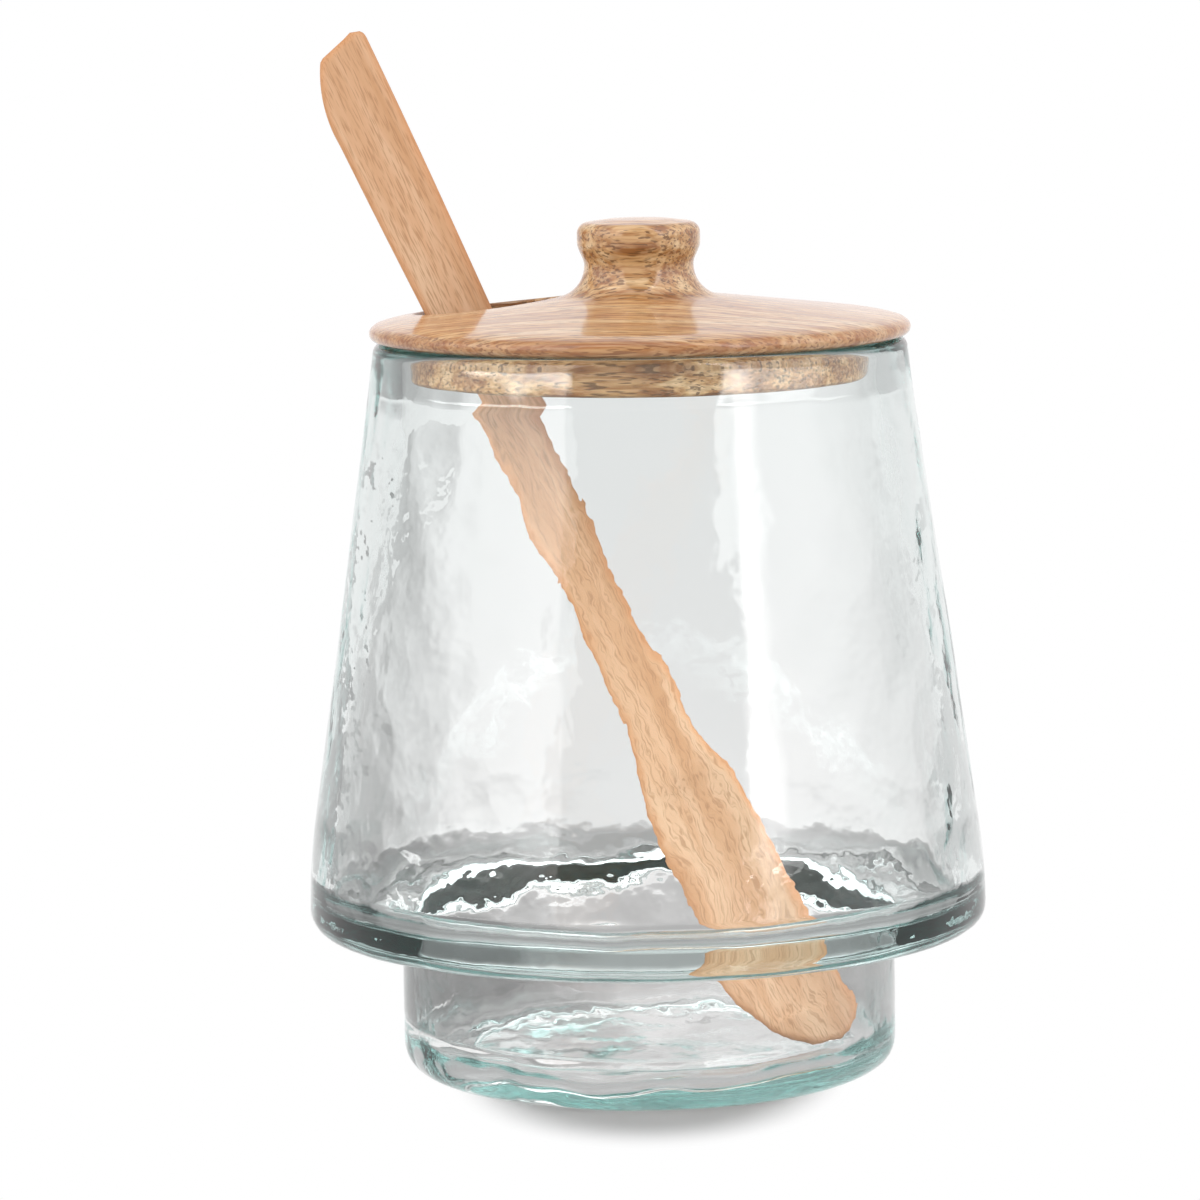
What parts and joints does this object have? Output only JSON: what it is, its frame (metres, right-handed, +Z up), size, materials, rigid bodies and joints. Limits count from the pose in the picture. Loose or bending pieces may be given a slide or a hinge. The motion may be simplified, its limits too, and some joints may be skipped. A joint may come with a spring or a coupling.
{
  "type": "jam pot",
  "caption": "Stepped round glass jar on a narrower foot with a turned wooden lid, a spoon hole in the lid and a leaning wooden spoon.",
  "frame": {"origin": "on the table, under the middle of the jar's foot", "axes": "+Z up along the jar's axis; -Y is the front that the picture shows; the spoon leans back towards -X and a little towards +Y"},
  "size_m": [0.119, 0.119, 0.1821],
  "materials": {
    "clear_glass": "thick recycled glass, clear with a faint sea-green tint, softly rippled",
    "mango_wood": "turned mango wood, oiled, warm brown with fine dark pores",
    "beech_wood": "sanded beech, pinkish tan with short fine flecks along the handle"
  },
  "bodies": {
    "jar": {"glass_jar": "clear_glass"},
    "lid": {"lid": "mango_wood"},
    "spoon": {"spoon": "beech_wood"}
  },
  "joints": [
    {"name": "lid_lift", "type": "slide", "parent": "jar", "child": "lid", "axis": [0, 0, 1], "range_m": [0, 0.15]},
    {"name": "spoon_draw", "type": "slide", "parent": "lid", "child": "spoon", "axis": [-0.3976, 0.1447, 0.9061], "range_m": [0, 0.15]}
  ]
}
